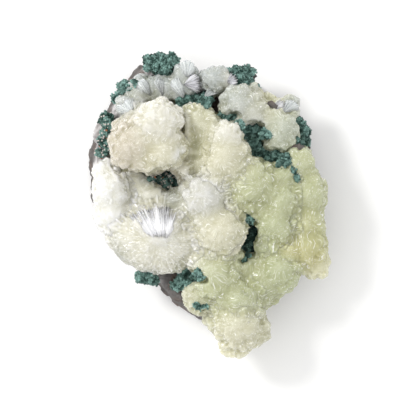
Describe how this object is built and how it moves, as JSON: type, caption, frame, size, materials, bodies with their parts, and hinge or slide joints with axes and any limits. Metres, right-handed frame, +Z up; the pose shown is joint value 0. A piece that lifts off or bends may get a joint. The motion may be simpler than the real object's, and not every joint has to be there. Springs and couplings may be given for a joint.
{
  "type": "stilbite specimen",
  "caption": "Rounded cream and honey balls of radiating stilbite blades with blue-green druses, grown on a slab of dark basalt that lies on its sawn underside.",
  "frame": {"origin": "middle of the whole specimen's box, on the sawn underside that it lies on", "axes": "+Y towards the top of the specimen as it is shown face-on and along its longest side, +X to the right, +Z up through the crystals"},
  "size_m": [0.0944, 0.1192, 0.0498],
  "materials": {
    "stilbite": "cloudy cream to honey zeolite, pearly on its blade faces and glassy on its edges",
    "celadonite": "blue-green druse of small coated crystals, dull and grainy",
    "basalt": "rough grey-brown broken basalt with pale flecks"
  },
  "bodies": {
    "root": {"basalt_matrix": "basalt", "celadonite_top_knob": "celadonite", "celadonite_upper_band": "celadonite", "celadonite_upper_right_knob": "celadonite", "celadonite_middle_ridge": "celadonite", "celadonite_right_edge": "celadonite", "celadonite_left_edge": "celadonite", "celadonite_corner_edge": "celadonite", "celadonite_hollow": "celadonite", "celadonite_crevice": "celadonite", "celadonite_lower_patch": "celadonite", "celadonite_lower_left_edge": "celadonite", "stilbite_main_mass": "stilbite", "stilbite_upper_right_mass": "stilbite", "stilbite_top_sheaves": "stilbite", "stilbite_bow_tie": "stilbite"}
  },
  "joints": []
}
